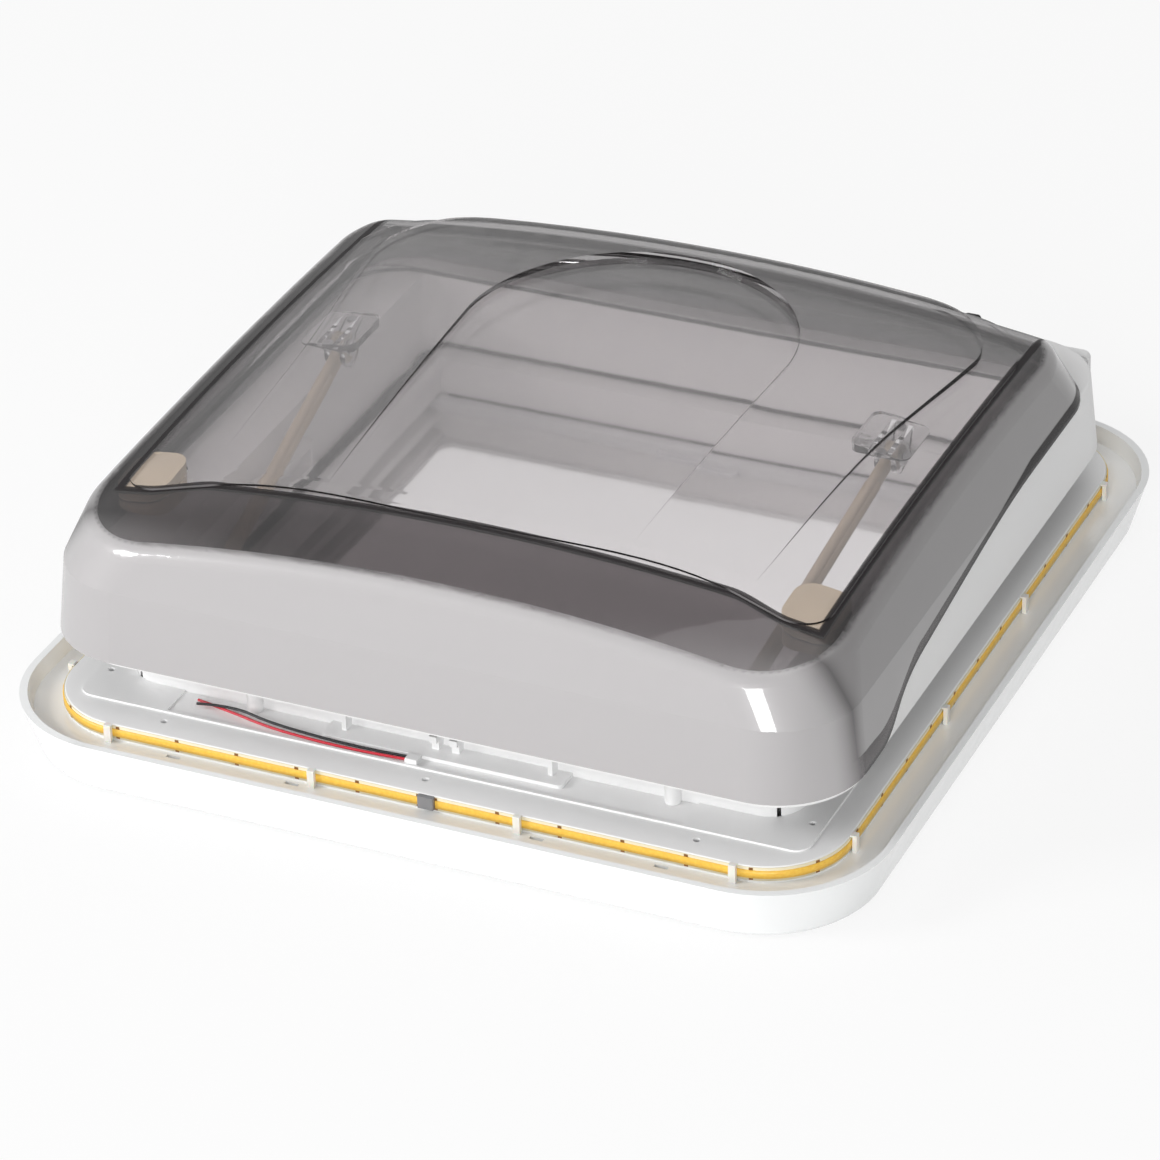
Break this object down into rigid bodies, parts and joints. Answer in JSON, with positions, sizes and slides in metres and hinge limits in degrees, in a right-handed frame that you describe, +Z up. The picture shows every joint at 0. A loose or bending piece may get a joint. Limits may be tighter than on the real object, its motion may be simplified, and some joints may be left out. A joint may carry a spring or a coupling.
{
  "type": "roof hatch",
  "caption": "Square caravan roof hatch with a hinged smoked double-pane dome, opening bail, pull-out blackout blind and flyscreen, and an inner frame edged by a light strip.",
  "frame": {"origin": "centre of the underside of the inner frame", "axes": "X across the hatch, -Y towards the opening front edge, +Y towards the hinge, +Z up through the roof"},
  "size_m": [0.509, 0.537, 0.1649],
  "materials": {
    "shell_white": "satin white",
    "frame_white": "fine grain white",
    "led_strip": "yellow phosphor band on a white carrier",
    "joint_grey": "grey",
    "wire_red": "red insulation",
    "wire_black": "black insulation",
    "blackout_cloth": "pleated, coated",
    "flyscreen_mesh": "pleated mesh",
    "bar_white": "white coated",
    "black_foam": "cellular rubber",
    "black_rubber": "matt rubber",
    "smoked_acrylic": "smoked, polished",
    "inner_acrylic": "light smoke, polished",
    "clear_plastic": "clear moulded",
    "beige_plastic": "fine grain beige",
    "button_grey": "fine grain grey",
    "steel": "zinc plated"
  },
  "bodies": {
    "frame": {"inner_frame": "shell_white", "mounting_plate": "frame_white", "led_strip": "led_strip", "led_clips": "frame_white", "led_joint": "joint_grey", "wire_outlet": "frame_white", "supply_wire_red": "wire_red", "supply_wire_black": "wire_black", "front_cassette": "frame_white", "rear_cassette": "frame_white", "side_rail_left": "frame_white", "side_rail_right": "frame_white", "blackout_pleats": "blackout_cloth", "flyscreen_pleats": "flyscreen_mesh", "outer_frame": "shell_white", "hinge_cover": "shell_white", "roof_gasket": "black_foam", "collar_seal": "black_foam", "dome_seal": "black_rubber", "clamp_screws": "steel", "screw_caps": "shell_white", "bail_guide_left": "frame_white", "bail_guide_right": "frame_white", "hinge_pin_left": "steel", "hinge_pin_right": "steel"},
    "dome": {"dome_outer": "smoked_acrylic", "dome_inner": "inner_acrylic", "corner_block_left": "beige_plastic", "corner_block_right": "beige_plastic", "pivot_bracket_left": "clear_plastic", "pivot_bracket_right": "clear_plastic", "bracket_screws": "steel", "pivot_pin_left": "steel", "pivot_pin_right": "steel"},
    "bail": {"bail_arm_left": "beige_plastic", "bail_arm_right": "beige_plastic", "crossbar": "beige_plastic", "bail_pin_left": "steel", "bail_pin_right": "steel", "lock_spring": "steel"},
    "lock_button": {"lock_button": "button_grey"},
    "blackout_blind": {"blackout_pull_bar": "bar_white"},
    "flyscreen": {"flyscreen_pull_bar": "bar_white"}
  },
  "joints": [
    {"name": "dome_hinge", "type": "hinge", "parent": "frame", "child": "dome", "pos_m": [0, 0.2, 0.117], "axis": [-1, 0, 0], "range_deg": [0, 48]},
    {"name": "bail_pivot", "type": "hinge", "parent": "dome", "child": "bail", "pos_m": [0, 0.022, 0.1295], "axis": [1, 0, 0], "range_deg": [0, 93]},
    {"name": "button_press", "type": "slide", "parent": "bail", "child": "lock_button", "axis": [0, 0, 1], "range_m": [0, 0.003], "stiffness_N_per_m": 900, "springref_m": -0.001, "deforming": ["lock_spring"]},
    {"name": "blackout_slide", "type": "slide", "parent": "frame", "child": "blackout_blind", "axis": [0, -1, 0], "range_m": [0, 0.288]},
    {"name": "flyscreen_slide", "type": "slide", "parent": "frame", "child": "flyscreen", "axis": [0, 1, 0], "range_m": [0, 0.288]}
  ],
  "couplings": [
    {"joint": "bail_pivot", "follows": "dome_hinge", "ratio": 1.934}
  ]
}
